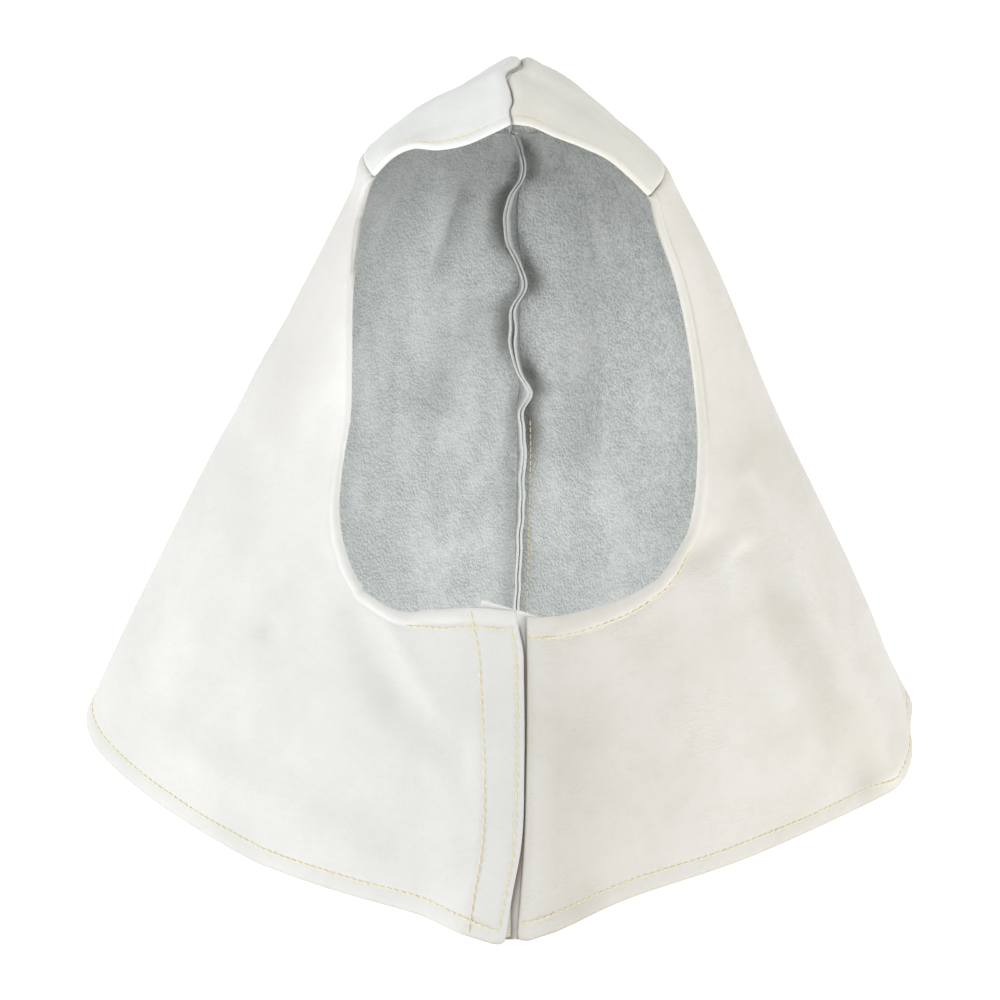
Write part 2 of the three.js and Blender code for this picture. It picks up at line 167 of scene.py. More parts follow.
SEAM_EDGE = sizes(
    EDGE, (0, -3, -4), (0.4, -1.8, -3.2), (1, -0.7, -2.2), (2, 0.05, -1.55), (4, 0.45, -1.1), (8, 0.2, -1.3),
    (14, 0, -1.5),
)


def ease(value, start=0, span=1):
    """Smooth step over a span: 3 s squared less 2 s cubed, with the share s held between 0 and 1."""
    s = np.clip((value - start) / span, 0, 1)
    return s * s * (3 - 2 * s)


def bell(value, wide):
    """Bell curve: 1 at value 0, falling to 1 over e at the width."""
    return np.exp(-(value / wide)**2)


def mix(a, b, share):
    """Straight mix from a at share 0 to b at share 1."""
    return a + (b - a) * share


def along(table, column, place):
    """Cubic through a column's rows at a place in the table's first column; a row's slope is that of
    the parabola through its neighbours."""
    keys, values = next(iter(table.values())), table[column]
    slopes = np.gradient(values, keys)
    at = np.clip(place, keys[0], keys[-1])
    row = np.clip(np.searchsorted(keys, at) - 1, 0, len(keys) - 2)
    span = keys[row + 1] - keys[row]
    s = (at - keys[row]) / span
    start = (2 * s**3 - 3 * s**2 + 1) * values[row] + (s**3 - 2 * s**2 + s) * span * slopes[row]
    end = (3 * s**2 - 2 * s**3) * values[row + 1] + (s**3 - s**2) * span * slopes[row + 1]
    return start + end


def bend(s, a, b, c, d):
    """Cubic Bezier through a and d, pulled towards b and c."""
    return (1 - s)**3 * a + 3 * (1 - s)**2 * s * b + 3 * (1 - s) * s**2 * c + s**3 * d


def section(side, turn, height):
    """Reach and depth of one half of a level section: one cubic from the front middle, turn 0, to
    the widest place, turn 1, rounded at the front, and one from there to the back, turn 2."""
    read = {column: along(BODY, column, height) for column in BODY}
    reach, widest = read[HALF[side]], read["widest"]
    ahead, behind = np.minimum(turn, 1), np.maximum(turn - 1, 0)
    straight = bend(ahead, 0, read["nose"], reach, reach)
    rounded = np.sqrt(straight**2 + 2 * straight * NOSE_ROUND * (1 - ahead)**2)
    front_depth = bend(ahead, read["front"], read["front"], widest - read["cheek"], widest)
    back_depth = bend(behind, widest, widest + read["flank"], read["back"], read["back"])
    back_reach = bend(behind, reach, reach, read["nape"], 0)
    return np.where(turn < 1, [rounded, front_depth], [back_reach, back_depth])


def fold_out(side, turn, height):
    """Upright folds of the cape: bell waves round the turn, each fading upwards to its own top."""
    fold = FOLDS[side]
    waves = fold["out"] * bell(turn[..., None] - fold["turn"], fold["spread"])
    return (waves * np.maximum(0, 1 - height[..., None] / fold["top"])**1.5).sum(-1)


def hood_point(side, turn, height, out=0):
    """Point of one half at a turn and height, moved out along the section's level normal."""
    turn, height, out = np.broadcast_arrays(turn, height, out)
    reach, depth = section(side, turn, height)
    step = 0.001
    after = section(side, np.minimum(turn + step, 2), height)
    across = after - section(side, np.maximum(turn - step, 0), height)
    move = (out + fold_out(side, turn, height)) / np.hypot(across[0], across[1])
    x = CLOSURE_X + side * (reach + across[1] * move)
    return np.stack([x, depth - across[0] * move, height], axis=-1)


def turn_at(side, reach, height, turns=FRONT_TURNS):
    """Turn between two turns whose reach is the one asked for, by halving the range."""
    reach, height = np.broadcast_arrays(reach, height)
    rising = turns[0] < 1
    low, high = (np.full(reach.shape, turn) for turn in turns)
    for _ in range(40):
        middle = (low + high) / 2
        onward = (section(side, middle, height)[0] < reach) == rising
        low, high = np.where(onward, middle, low), np.where(onward, high, middle)
    return (low + high) / 2


def wall_point(x, height, out=0.0, turns=FRONT_TURNS):
    """Point of the front or back wall at an X from the closure plane, on the half it falls in."""
    halves = [hood_point(side, turn_at(side, np.abs(x), height, turns), height, out)
              for side in (LEFT, RIGHT)]
    return np.where((x < 0)[..., None], *halves)


def ripple(places, length, seed):
    """Smooth uneven relief of about -1 to 1: plane waves in seeded directions, added up."""
    draw = np.random.default_rng(seed)
    ways = draw.normal(size=(16, 3))
    ways *= (2 * np.pi / length) * draw.uniform(0.6, 1.5, (16, 1)) / np.linalg.norm(ways, axis=1)[:, None]
    return np.sin(places @ ways.T + draw.uniform(0, 2 * np.pi, 16)).sum(-1) / 4


def crease_relief(table, places):
    """Soft creases: for each a bell of its own width about a straight line seen from the front."""
    x, z = places[:, :1] - CLOSURE_X, places[:, 2:]
    run_x, run_z = table["x1"] - table["x0"], table["z1"] - table["z0"]
    share = ((x - table["x0"]) * run_x + (z - table["z0"]) * run_z) / (run_x**2 + run_z**2)
    share = np.clip(share, 0, 1)
    away = np.hypot(x - table["x0"] - share * run_x, z - table["z0"] - share * run_z)
    return (table["out"] * bell(away, table["wide"])).sum(-1)


def away_from(places, line):
    """Distance from each place to the nearest piece of a line of points."""
    a, step = line[:-1], np.diff(line, axis=0)
    found = np.full(len(places), np.inf)
    for start, way in zip(a, step):
        share = np.clip((places - start) @ way / (way @ way), 0, 1)
        found = np.minimum(found, np.linalg.norm(places - start - share[:, None] * way, axis=1))
    return found


def grid_cells(numbers, flip):
    """Four-cornered cells of a grid of point numbers."""
    corners = [numbers[:-1, :-1], numbers[:-1, 1:], numbers[1:, 1:], numbers[1:, :-1]]
    cells = np.stack(corners, -1).reshape(-1, 4)
    return cells[:, ::-1] if flip else cells


def shell(outer, inner, cells):
    """Closed shell: an outer and an inner sheet of the same cells, walled along each open edge."""
    outer, inner = outer.reshape(-1, 3), inner.reshape(-1, 3)
    count = len(outer)
    edges = np.concatenate([cells[:, [k, (k + 1) % 4]] for k in range(4)])
    keys = edges[:, 0] * count + edges[:, 1]
    rim = edges[~np.isin(edges[:, 1] * count + edges[:, 0], keys)]
    walls = np.stack([rim[:, 1], rim[:, 0], rim[:, 0] + count, rim[:, 1] + count], axis=1)
    return np.concatenate([outer, inner]), np.concatenate([cells, cells[:, ::-1] + count, walls])


def put_in_scene(name, data):
    """Object that shows a mesh, light or camera."""
    made = bpy.data.objects.new(name, data)
    bpy.context.scene.collection.objects.link(made)
    return made


def make_piece(name, points, faces, materials, finish=None, shade=None):
    """Mesh object at the origin from points and faces, each face with the number of its material;
    shade is a value for each point that a material may read."""
    groups = faces if isinstance(faces, list) else [faces]
    used = np.unique(np.concatenate([group.ravel() for group in groups]))
    number = np.zeros(len(points), dtype=int)
    number[used] = np.arange(len(used))
    mesh = bpy.data.meshes.new(name)
    mesh.from_pydata(points[used].tolist(), [], [face for group in groups for face in number[group].tolist()])
    for material in materials:
        mesh.materials.append(material)
    mesh.shade_smooth()
    if finish is not None:
        mesh.polygons.foreach_set("material_index", finish.astype(np.int32))
    if shade is not None:
        shades = mesh.attributes.new("Shade", "FLOAT", "POINT")
        shades.data.foreach_set("value", shade[used].astype(np.float32))
    mesh.update()
    piece = put_in_scene(name, mesh)
    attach(piece, "root")
    return piece


def add(tree, kind, links=None, **settings):
    """Node with its own settings; links gives each input a value or another node's output."""
    made = tree.nodes.new(kind)
    for name, value in settings.items():
        setattr(made, name, value)
    for name, value in (links or {}).items():
        if isinstance(value, bpy.types.NodeSocket):
            tree.links.new(value, made.inputs[name])
        else:
            made.inputs[name].default_value = value
    return made


def sums(operation, first, second):
    """One step of arithmetic on an output and a value or another output."""
    return add(first.id_data, "ShaderNodeMath", {0: first, 1: second}, operation=operation).outputs[0]


def finish_colour(red, green, blue):
    """Linear colour of a finish from its screen colour in 0 to 255."""
    screen = np.array([red, green, blue]) / 255
    linear = np.where(screen <= 0.04045, screen / 12.92, ((screen + 0.055) / 1.055)**2.4)
    return (*linear.tolist(), 1.0)


def blend_colours(share, *ends):
    """Colour mixed by a share from a first to a second, each an output or a screen colour."""
    first, second = (finish_colour(*end) if isinstance(end, tuple) else end for end in ends)
    return add(share.id_data, "ShaderNodeMix", {0: share, 6: first, 7: second}, data_type="RGBA").outputs[2]


def scaled_sum(first, share, second, other):
    """Sum of two values, each times its own share."""
    return sums("ADD", sums("MULTIPLY", first, share), sums("MULTIPLY", second, other))


def darkened(colour, dark):
    """Colour mixed with a dark one by the Shade value of the piece's points, which is painted shade."""
    shade = add(colour.id_data, "ShaderNodeAttribute", attribute_name="Shade").outputs["Fac"]
    return blend_colours(shade, colour, dark)


def noise(vector, scale, detail=3, rough=0.55):
    """Uneven value from 0 to 1 with features of about one over the scale."""
    links = {"Vector": vector, "Scale": scale, "Detail": detail, "Roughness": rough}
    return add(vector.id_data, "ShaderNodeTexNoise", links).outputs["Fac"]


def ramp(value, low, high):
    """Value stretched so that low becomes 0 and high becomes 1."""
    links = {0: value, 1: low, 2: high}
    return add(value.id_data, "ShaderNodeMapRange", links, interpolation_type="SMOOTHSTEP").outputs[0]


def effect(name, *outputs):
    """Empty node group with a vector in and named values out."""
    tree = bpy.data.node_groups.new(name, "ShaderNodeTree")
    tree.interface.new_socket("Vector", in_out="INPUT", socket_type="NodeSocketVector")
    for output in outputs:
        tree.interface.new_socket(output, in_out="OUTPUT", socket_type="NodeSocketFloat")
    return tree, add(tree, "NodeGroupInput").outputs["Vector"]


def new_material(name, roughness, **plain):
    """Material with its Principled shader and object coordinates; plain values go on its sockets."""
    material = bpy.data.materials.new(name)
    material.use_nodes = True
    shader = material.node_tree.nodes["Principled BSDF"]
    shader.inputs["Roughness"].default_value = roughness
    for socket, value in plain.items():
        shader.inputs[socket.replace("_", " ")].default_value = value
    return material, shader, add(material.node_tree, "ShaderNodeTexCoord").outputs["Object"]


def vein_lines(vector, stretch, scale, detail, rough, wide):
    """Thin lines where noise on a stretched vector passes through its middle value."""
    stretched = add(vector.id_data, "ShaderNodeMapping", {"Vector": vector, "Scale": stretch}).outputs[0]
    off_middle = sums("SUBTRACT", noise(stretched, scale, detail, rough), 0.5)
    return ramp(sums("ABSOLUTE", off_middle, 0), wide, 0)


def put_on(shader, colour, height, strength, deep, under=None):
    """Colour and a bump on a shader; under is a finer bump that this one lies over."""
    tree = shader.id_data
    bump = add(tree, "ShaderNodeBump", {"Height": height, "Strength": strength, "Distance": deep})
    if under:
        tree.links.new(under.outputs[0], bump.inputs["Normal"])
    tree.links.new(colour, shader.inputs["Base Color"])
    tree.links.new(bump.outputs[0], shader.inputs["Normal"])


# Grain: fine pebbles of about a millimetre, hair creases, level wrinkles in patches, slow clouds.
grain_tree, grain_in = effect("hide_grain", "Height", "Clouds", "Creases", "Wrinkles")
pebbles = add(grain_tree, "ShaderNodeTexVoronoi", {"Vector": grain_in, "Scale": 1050}).outputs["Distance"]
pebbles = scaled_sum(pebbles, 0.55, noise(grain_in, 1900, 2), 0.45)
creases = vein_lines(grain_in, (0.55, 0.55, 1.5), 95, 4, 0.6, 0.012)
wrinkles = vein_lines(grain_in, (0.32, 0.32, 1.7), 190, 2, 0.5, 0.05)
wrinkle_patches = ramp(noise(grain_in, 34), 0.46, 0.62)
add(grain_tree, "NodeGroupOutput", {
    "Height": scaled_sum(pebbles, 1, creases, -0.5),
    "Clouds": ramp(noise(grain_in, 22, 5, 0.6), 0.3, 0.7),
    "Creases": creases,
    "Wrinkles": sums("MULTIPLY", wrinkles, wrinkle_patches),
})


def hide_material(name, pale, shaded, crease, wrinkled):
    """White grain leather: pale colour clouded with a shaded one, creases darker, a fine pebbled bump
    and over it the wrinkles."""
    material, shader, coords = new_material(name, 0.55, Specular_IOR_Level=0.35, Sheen_Weight=0.06)
    tree = material.node_tree
    grain = add(tree, "ShaderNodeGroup", {"Vector": coords}, node_tree=grain_tree).outputs
    clouded = blend_colours(grain["Clouds"], shaded, pale)
    creased = blend_colours(sums("MULTIPLY", grain["Creases"], 0.12), clouded, crease)
    rough = add(tree, "ShaderNodeMapRange", {0: grain["Clouds"], 3: 0.62, 4: 0.48})
    tree.links.new(rough.outputs[0], shader.inputs["Roughness"])
    fine = add(tree, "ShaderNodeBump", {"Height": grain["Height"], "Strength": 0.22, "Distance": 0.0006})
    # The brown dark colour by the Shade value is painted shade along hems, seams and grooves, in dents, over
    # folds and in the closure gap.
    put_on(shader, darkened(creased, (128, 106, 74)), grain["Wrinkles"], wrinkled, 0.0012, fine)
    return material


# The right-hand hide is a darker, warmer copy of the left one: painted shade of the weaker light on the
# right.
white_left = hide_material("white_hide_left", (241, 241, 238), (235, 235, 231), (216, 214, 206), 0.08)
white_right_painted_shade = hide_material("white_hide_right_painted_shade", (238, 236, 229), (231, 228, 218), (208, 203, 190), 0.22)

# Flesh side: pale grey suede with short upright fibres, dark specks and two sizes of blotch.
nap_tree, nap_in = effect("flesh_nap", "Height", "FibreLightShade", "Patches")
fibres = []
for step in (0, 0.0004):
    slanted = add(nap_tree, "ShaderNodeMapping", {
        "Vector": nap_in, "Location": (step, 0, 0.7 * step), "Rotation": (0, 0.3, 0),
        "Scale": (1, 1, 0.65)})
    fibres.append(noise(slanted.outputs[0], 820, 4, 0.6))
# Painted light and shade of the nap: the fibre noise less itself a little way off, light on one side of each
# fibre and dark on the other.
fibre_shadow = sums("ADD", sums("SUBTRACT", *fibres), 0.5)
upright = add(nap_tree, "ShaderNodeMapping", {"Vector": nap_in, "Scale": (1, 1, 0.4)})
blotches = ramp(noise(upright.outputs[0], 34, 5, 0.65), 0.4, 0.6)
specks = noise(nap_in, 170, 5, 0.7)
add(nap_tree, "NodeGroupOutput", {
    "Height": scaled_sum(fibres[0], 1, specks, 1.4),
    "FibreLightShade": ramp(fibre_shadow, 0.4, 0.6),
    "Patches": scaled_sum(blotches, 0.55, ramp(specks, 0.32, 0.68), 0.45),
})
suede, suede_shader, suede_coords = new_material(
    "grey_flesh_side", 0.95, Specular_IOR_Level=0.1, Sheen_Weight=0.2, Sheen_Roughness=0.6)
nap = add(suede.node_tree, "ShaderNodeGroup", {"Vector": suede_coords}, node_tree=nap_tree).outputs
suede_dark = blend_colours(nap["FibreLightShade"], (180, 185, 183), (234, 240, 239))
suede_pale = blend_colours(nap["FibreLightShade"], (222, 228, 227), (255, 255, 255))
suede_colour = blend_colours(nap["Patches"], suede_dark, suede_pale)
# The dark colour by the Shade value is painted shade: beside the rib, in the back creases and towards the top
# under the crown.
put_on(suede_shader, darkened(suede_colour, (92, 89, 80)), nap["Height"], 0.9, 0.0022)


def cut_fibre(name, roughness, gloss, scale, dark, pale, strength, deep, painted_shade=None):
    """Bare fibre where a hide was cut: two colours mixed by fine noise, which is its bump too, and
    darker by the Shade value, which is painted shade, where it is given a colour for that."""
    material, shader, coords = new_material(name, roughness, Specular_IOR_Level=gloss)
    fibre = ramp(noise(coords, scale, 4), 0.3, 0.7)
    colour = blend_colours(fibre, dark, pale)
    put_on(shader, darkened(colour, painted_shade) if painted_shade else colour, fibre, strength, deep)
    return material


cut_edge = cut_fibre("cut_edge", 0.9, 0.15, 900, (150, 130, 100), (188, 170, 140), 0.4, 0.0004)


def hem_height(side, turn):
    """Height of the hem above the ground, never under it."""
    return np.maximum(0, along(HEM, HALF[side], turn))


def seam_height(side, turn):
    """Height of the seam between side and crown."""
    return along(CROWN_SEAM, HALF[side], turn)


def seam_gap(turn):
    """Half the gap between side and crown, which stands open at the front corners."""
    return 0.00015 + 0.0005 * (1 - ease(turn, 0.72, 0.2))


def seam_foot(height):
    """X of the back seam on the wall, which sways less than the rib's free edge."""
    return mix(SEAM_MIDDLE, along(BACK_SEAM, "sway", height), FOOT_SWAY)


def profile(table, face, away):
    """How far out a cross-section's grain or flesh face lies at a distance in from its edge."""
    return np.interp(away, table["away"], table[face])


def panel_finish(strip, cut, cells, faces):
    """Material of each face of a panel: grain outside and where the turned strip's share is under 1,
    cut edge from there to the cut share, suede for the rest of the flesh side."""
    share = strip.ravel()[cells].mean(axis=1)
    flesh = np.where(share < 1, 0, np.where(share < cut, 2, 1))
    return np.concatenate([np.zeros(len(cells)), flesh, np.zeros(len(faces) - 2 * len(cells))])


def face_edge(side):
    """Points along a side panel's edge of the face opening: collar from near the middle, then cheek."""
    name = HALF[side]
    reach = np.linspace(BIB_FROM[side], FACE_CORNER, 60)
    collar = wall_point(side * reach, along(COLLAR, name, reach))
    height = np.linspace(along(COLLAR, name, FACE_CORNER), seam_height(side, BROW_TURN), 140)[1:]
    cheek = wall_point(side * along(CHEEK, name, height), height)
    return np.concatenate([collar, cheek])


def side_panel(side, grain):
    """Bib grid from the front edge to a line below the face corner, and wrap grid from there and from
    the cheek round to the back seam; the faces follow the edge cross-sections and a soft relief."""
    name = HALF[side]
    corner = along(COLLAR, name, FACE_CORNER)
    top = seam_height(side, BROW_TURN)
    per_metre = CORNER_SHARE / corner
    above_top = (1 - CORNER_SHARE) / (top - corner)
    hem_rows = GROUND_HEM["away"] * per_metre
    collar_rows = CORNER_SHARE - FACE_HEM["away"][::-1] * per_metre
    low = np.concatenate([hem_rows, np.linspace(hem_rows[-1], collar_rows[0], 34)[1:-1], collar_rows])
    seam_rows = 1 - SEAM_EDGE["away"][::-1] * above_top
    rows = np.concatenate([low, np.linspace(CORNER_SHARE, seam_rows[0], 74)[1:-1], seam_rows])
    is_low = rows <= CORNER_SHARE
    up = np.minimum(rows / CORNER_SHARE, 1)

    # Bib: X from the closure plane and height of each point.
    flap_parts = FLAP_EDGE["away"] / BIB_WIDE
    parts = np.concatenate([flap_parts, np.linspace(flap_parts[-1], 1, 38)[1:]])[None, :]
    bib_up = up[is_low][:, None]
    edge_x = along(FRONT_EDGE, name, bib_up * corner)
    bib_x = mix(edge_x, side * mix(BIB_FOOT, FACE_CORNER, bib_up), parts)
    from_edge = np.clip(np.abs(bib_x - edge_x) / CORNER_ACROSS[side], 0, 1)
    bib_ground = CORNER_UP[side] * (1 - np.sqrt(1 - (1 - from_edge)**2))
    bib_top = along(COLLAR, name, np.maximum(0, side * bib_x))
    bib_height = mix(bib_ground, bib_top, bib_up)

    # Wrap: turn and height of each point, and X near the back seam.
    start_height = np.where(is_low, up * corner, mix(corner, top, (rows - CORNER_SHARE) / (1 - CORNER_SHARE)))
    start_reach = np.where(is_low, mix(BIB_FOOT, FACE_CORNER, up), along(CHEEK, name, start_height))
    start = turn_at(side, start_reach, start_height)
    here, ahead = (hood_point(side, start + step, start_height) for step in (0, 0.01))
    pace = np.linalg.norm(ahead - here, axis=-1) / 0.01
    back_height = rows * seam_height(side, 2)
    foot = seam_foot(back_height)
    end = turn_at(side, np.maximum(0.008, side * foot + 0.01), back_height, BACK_TURNS)
    narrow = mix(1, CHEEK_BEAD[side], ease(start_height, 0.17, 0.05))
    edge_turns = start[:, None] + FACE_HEM["away"] * (narrow / pace)[:, None]
    onward = mix(edge_turns[:, -1:], end[:, None], np.linspace(0, 1, 130)[1:])
    turns = np.concatenate([edge_turns, onward], axis=1)
    ground = hem_height(side, turns)
    settle = ease(turns, start[:, None], 0.5)
    share = mix((start_height / top)[:, None], rows[:, None], settle)
    wrap_height = mix(ground, seam_height(side, turns) - seam_gap(turns), share)
    seam_parts = np.array([0.25, 0.45, 0.6, 0.72, 0.82, 0.9, 0.96, 1])
    end_x = side * section(side, end, back_height)[0]
    back_x = mix(end_x[:, None], foot[:, None], seam_parts)
    back_rows = np.broadcast_to(back_height[:, None], back_x.shape)
    splits = [bib_x.size, bib_x.size + turns.size]
    count = splits[-1] + back_x.size

    def place(out):
        """All points of the panel, with each moved out by its own amount."""
        bib_out, wrap_out, back_out = np.split(out, splits)
        bib = wall_point(bib_x, bib_height, bib_out.reshape(bib_x.shape))
        wrap = hood_point(side, turns, wrap_height, wrap_out.reshape(turns.shape))
        back = wall_point(back_x, back_rows, back_out.reshape(back_x.shape), BACK_TURNS)
        return np.concatenate([part.reshape(-1, 3) for part in (bib, wrap, back)])

    def spread(*values):
        """One value for each point of the panel, from those of bib, wrap and back."""
        grids = zip(values, (bib_x, turns, back_x))
        return np.concatenate([np.broadcast_to(value, grid.shape).ravel() for value, grid in grids])

    flat = place(np.zeros(count))
    x, depth, z = flat.T
    far = 1
    to_face = away_from(flat, face_edge(side))
    if side == LEFT:
        to_face /= mix(1, 0.78, ease(-x, 0.045, 0.02))
        to_face /= mix(1, CHEEK_BEAD[side], ease(z, 0.17, 0.05))
    else:
        to_face /= mix(1.55, 0.9, ease(x, 0.04, 0.05))
    to_hem = SLANT * spread(bib_height - bib_ground, wrap_height - ground, back_rows)
    to_top = SLANT * spread(far, np.where(is_low[:, None], far, seam_height(side, turns) - wrap_height),
                            seam_height(side, 2) - back_rows)
    to_seam = np.where(depth > 0.1, np.abs(x - CLOSURE_X - seam_foot(z)), far)
    to_front = spread(np.abs(bib_x - edge_x), far, far)
    closure = spread(ease(np.abs(bib_x), 0.021, 0.005), 1, 1)

    grain_out, flesh_out = np.zeros(count), np.full(count, -HIDE_THICK)
    front_edge = FLAP_EDGE if side == LEFT else RAW_EDGE
    for table, away, turned in (
            (FACE_HEM, to_face, closure), (GROUND_HEM, to_hem, closure), (SEAM_EDGE, to_top, 1),
            (SEAM_EDGE, to_seam, 1), (front_edge, to_front, 1)):
        grain_out += profile(table, "grain", away) * mix(0.4, 1, turned)
        flesh_out += (profile(table, "flesh", away) + HIDE_THICK) * turned
    flesh_out = np.minimum(flesh_out, grain_out - THINNEST)

    # Relief: slow upright dents, creases, and beside the rib a gutter that is deep where it leans over.
    calm = spread(ease(np.abs(bib_x), 0.013, 0.014), 1, 1) * ease(to_hem, 0, 0.02) * ease(to_top, 0, 0.03)
    calm *= ease(to_seam, 0, 0.012)
    in_front, at_back, upper = ease(0.09 - depth, 0, 0.05), depth > 0.08, ease(z, 0.12, 0.04)
    back_creases = crease_relief(BACK_CREASES[side], flat)
    soft = 0.0008 * ripple(flat * [1, 1, 0.3], 0.075, 5 + side)
    soft += 0.0014 * ripple(flat * [1, 1, 0.35], 0.05, 60 + side) * ease(depth, 0.06, 0.06)
    soft += crease_relief(FRONT_CREASES[side], flat) * in_front
    soft += back_creases * ease(depth, 0.08, 0.04)
    sway = along(BACK_SEAM, "sway", z)
    lean = np.clip(0.45 + side * (sway - 0.0045) / 0.007, 0, 1) * upper
    lean_at_seam = mix(0.45 * upper, lean, ease(to_seam, 0, 0.006))
    gutter = (GUTTER_LEAST + GUTTER_DEEP * lean_at_seam) * bell(to_seam, GUTTER_WIDE)
    gutter *= ease(z, 0, 0.1) * ease(to_top, 0, 0.03)

    # Painted shade: inside, beside the rib, in creases and towards the top; outside, along edges and grooves,
    # in dents and in broad tones over the folds.
    by_rib = bell(x - CLOSURE_X - sway - side * 0.002, 0.0085) * at_back
    rib_shade = np.maximum((0.12 + 0.6 * lean) * by_rib, 0.34 * ease(z, 0.26, 0.09))
    rib_shade += np.clip(50 * back_creases, -0.08, 0.18) * at_back
    edge_shade = 0.5 * bell(to_hem, 0.0009) + 0.3 * bell(to_front, 0.0005)
    edge_shade += 0.4 * bell(to_top, 0.0008) * mix(0.4, 1, ease(to_face, 0.006, 0.012))
    if side == RIGHT:
        edge_shade += 0.2 * bell(to_face - 0.0078, 0.0018) * ease(z, 0.2, 0.06)
    # Broad tones from the painted-shade lines, kept off the middle of the closure: painted shade, with a
    # painted highlight on the right ridge.
    painted_shade = crease_relief(PAINTED_SHADE_LINES[side], flat) * spread(ease(np.abs(bib_x), 0.015, 0.005), 1, 1)
    edge_shade += (np.maximum(0, painted_shade) + np.clip(-8 * soft, 0, 0.04) * calm) * in_front
    shade = np.concatenate([edge_shade, np.clip(rib_shade, 0, 1)])
    flap_lift = FLAP_LIFT * ease(bib_x, FLAP_LIFT_FROM, FLAP_LIFT_TO - FLAP_LIFT_FROM)
    lift = spread(flap_lift if side == LEFT else 0, 0, 0)
    outer = place(lift + SLANT * (grain_out + soft * calm + gutter))
    inner = place(lift + SLANT * (flesh_out + soft * calm + gutter))

    bib_grid, wrap_part, back_part = np.split(np.arange(count), splits)
    bib_grid = bib_grid.reshape(bib_x.shape)
    wrap_grid = np.concatenate([wrap_part.reshape(turns.shape), back_part.reshape(back_x.shape)], axis=1)
    wrap_grid[: len(bib_grid), 0] = bib_grid[:, -1]
    flip = side == LEFT
    cells = np.concatenate([grid_cells(bib_grid, flip), grid_cells(wrap_grid, flip)])
    points, faces = shell(outer, inner, cells)

    strip = np.where(closure > 0.5, np.minimum(to_face / TURNED_STRIP, to_hem / HEM_STRIP), 9)
    finish = panel_finish(strip, SIDE_CUT, cells, faces)
    piece = make_piece(f"side_panel_{name}", points, faces, [grain, suede, cut_edge], finish, shade)
    return piece, (flat, outer - flat)


panel_relief = {}
for side, grain in ((LEFT, white_left), (RIGHT, white_right_painted_shade)):
    panel, panel_relief[side] = side_panel(side, grain)
    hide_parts(f"side_{HALF[side]}")

# Back seam: the two side panels' edges, sewn face to face and left standing inside as a rib.
# The allowances are bare hide, about twelve millimetres deep, and the thread has ruffled them.
RIB_DEEP, RIB_THICK, RIB_ROUND_FROM = 0.012, 0.0019, 0.86
RIB_SLIT, OPEN_SLIT, OPEN_SLIT_AT = 0.0004, 0.0016, 0.224


def seam_rib(side):
    """Strip from the wall to a free edge that sways along its height, rounded at that edge."""
    height = np.linspace(0.001, 0.3505, 300)[:, None]
    deep = np.array([0, 0.15, 0.35, 0.55, 0.7, 0.8, 0.88, 0.94, 0.98, 1])[None, :]
    sway = along(BACK_SEAM, "sway", height)
    flutter = np.stack(np.broadcast_arrays(0 * height, 0 * height, height), -1)
    wave = 0.0006 * ripple(flutter, 0.02, 40) * deep
    slit = RIB_SLIT + OPEN_SLIT * deep * bell(height - OPEN_SLIT_AT, 0.014)
    middle = mix(seam_foot(height), sway, deep**1.3) + side * (slit + RIB_THICK) / 2 + wave
    past_round = np.maximum(0, deep - RIB_ROUND_FROM) / (1 - RIB_ROUND_FROM)
    half = RIB_THICK / 2 * np.sqrt(np.maximum(0.02, 1 - past_round**2))
    depth = -HIDE_THICK - RIB_DEEP * deep * (1 + 0.08 * ripple(flutter, 0.035, 50 + side))
    depth = mix(depth, -HIDE_THICK, 0.9 * ease(height, 0.338, 0.012))
    height, depth, half = np.broadcast_arrays(height, depth, half)
    outer = wall_point(middle + side * half, height, depth, BACK_TURNS)
    inner = wall_point(middle - side * half, height, depth, BACK_TURNS)
    cells = grid_cells(np.arange(height.size).reshape(height.shape), side == RIGHT)
    points, faces = shell(outer, inner, cells)
    at_edge = np.broadcast_to(deep, height.shape).ravel()[cells].mean(axis=1) > 0.75
    finish = np.concatenate([at_edge, at_edge, np.ones(len(faces) - 2 * len(cells))])
    shade = np.broadcast_to(0.45 * (1 - deep) + 0.22 * ease(height, 0.2, 0.1), height.shape).ravel()
    return make_piece(f"back_seam_{HALF[side]}", points, faces, [suede, rib_edge], finish, np.tile(shade, 2))


# Its grey dark colour by the Shade value is painted shade: darker towards the wall and higher up the rib.
rib_edge = cut_fibre("pale_cut_edge", 0.8, 0.2, 700, (220, 222, 219), (240, 241, 238), 0.3, 0.0005,
                     (110, 113, 110))
for side in (LEFT, RIGHT):
    seam_rib(side)

# Crown panels: two white hides sewn along a middle seam and to the tops of the sides.
# Their front edges are turned in and sewn down as the top of the face opening.
RIDGE = sizes(
    "along depth height", (0, -33, 396.5), (0.15, -12, 411), (0.3, 10, 419), (0.45, 40, 418), (0.6, 75, 407),
    (0.75, 105, 390), (0.9, 130, 369), (1, 146, 352),
)
RIDGE_SWAY = sizes(
    "along sway",
    (0, 0.8), (0.06, -0.1), (0.1, 1.3), (0.15, 0.7), (0.29, -0.6), (0.335, 4), (0.38, 5.6), (0.6, 3),
    (0.75, 1), (1, 0),
)
CROWN_FRONT = sizes(
    "across left right",
    (0, 0, 0), (0.15, 0, 5), (0.3, 0, 6.5), (0.5, 3, 9), (0.7, 9, 9.5), (0.87, 7, 5), (1, 0, 0),
)
CROWN_SWELL, SEAM_DIP, SEAM_DIP_WIDE = {LEFT: 0.0045, RIGHT: 0.0058}, 0.004, 0.1
RIGHT_LIP, RIGHT_LIP_AT = 0.0032, 0.33
CROWN_BEAD, CROWN_BEAD_WIDE, CROWN_CUT = 0.5, 0.7, 0.0116
CROWN_ROW = {LEFT: (0.14, 0.88), RIGHT: (0.02, 0.24)}
